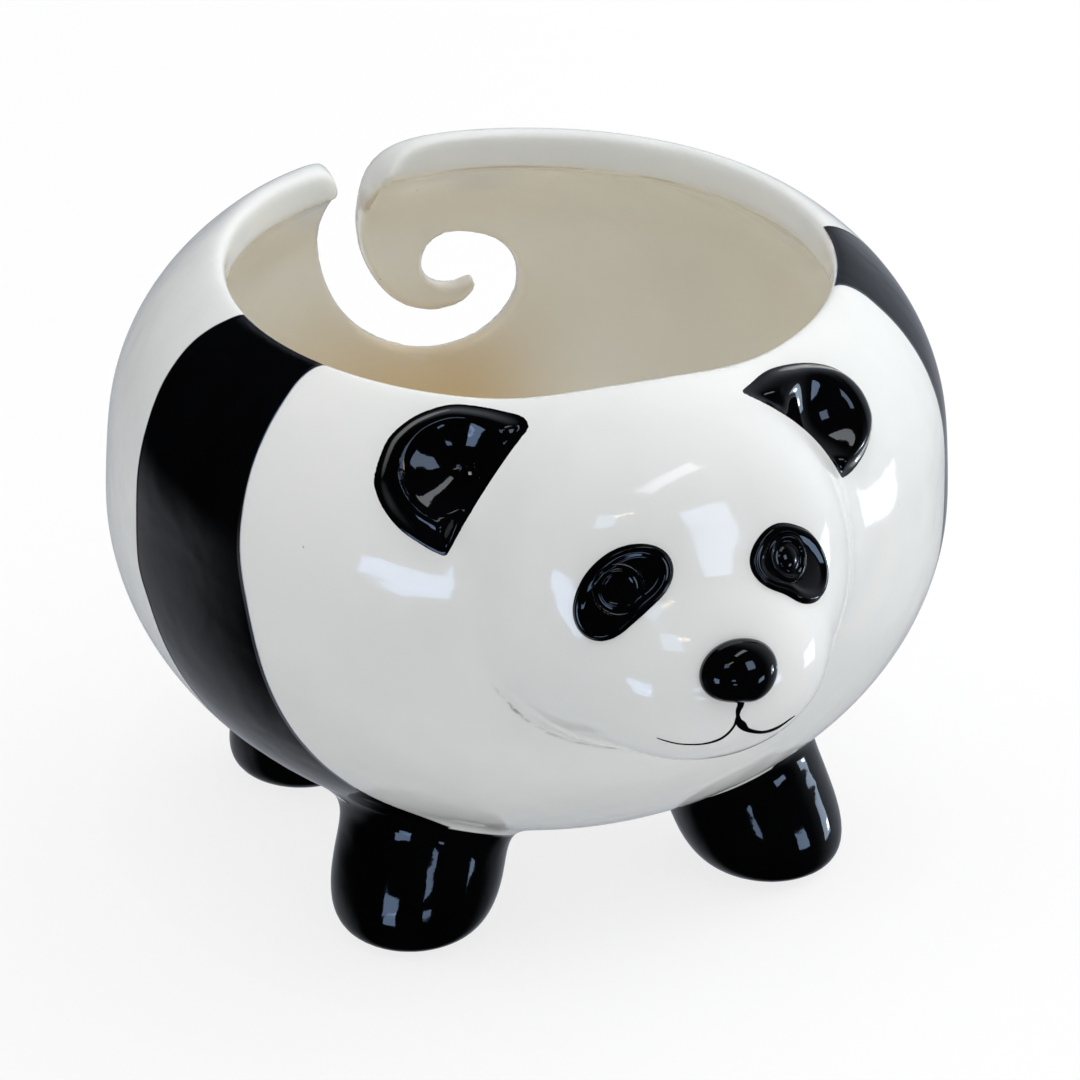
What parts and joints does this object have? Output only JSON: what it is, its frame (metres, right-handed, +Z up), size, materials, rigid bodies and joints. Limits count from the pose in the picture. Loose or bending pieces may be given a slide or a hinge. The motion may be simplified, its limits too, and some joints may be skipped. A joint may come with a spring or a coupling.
{
  "type": "yarn bowl",
  "caption": "Glazed ceramic yarn bowl shaped as a standing bear, with a wide mouth, a curled slot in the rear wall that feeds the strand, and short legs.",
  "frame": {"origin": "middle of the bounding box, on the plane the soles stand on", "axes": "+Z up; the animal faces -Y; +X is the animal's left side; the yarn slot is in the +Y wall"},
  "size_m": [0.1686, 0.1996, 0.1279],
  "materials": {
    "white_glaze": "gloss",
    "black_glaze": "gloss"
  },
  "bodies": {
    "root": {"bowl_shell": "white_glaze", "head_shell": "white_glaze", "ear_left": "black_glaze", "ear_right": "black_glaze", "eye_patch_left": "black_glaze", "eye_patch_right": "black_glaze", "eye_left": "black_glaze", "eye_right": "black_glaze", "nose": "black_glaze", "mouth_line": "black_glaze", "leg_front_left": "black_glaze", "leg_front_right": "black_glaze", "leg_rear_left": "black_glaze", "leg_rear_right": "black_glaze", "band_left": "black_glaze", "band_right": "black_glaze"}
  },
  "joints": []
}
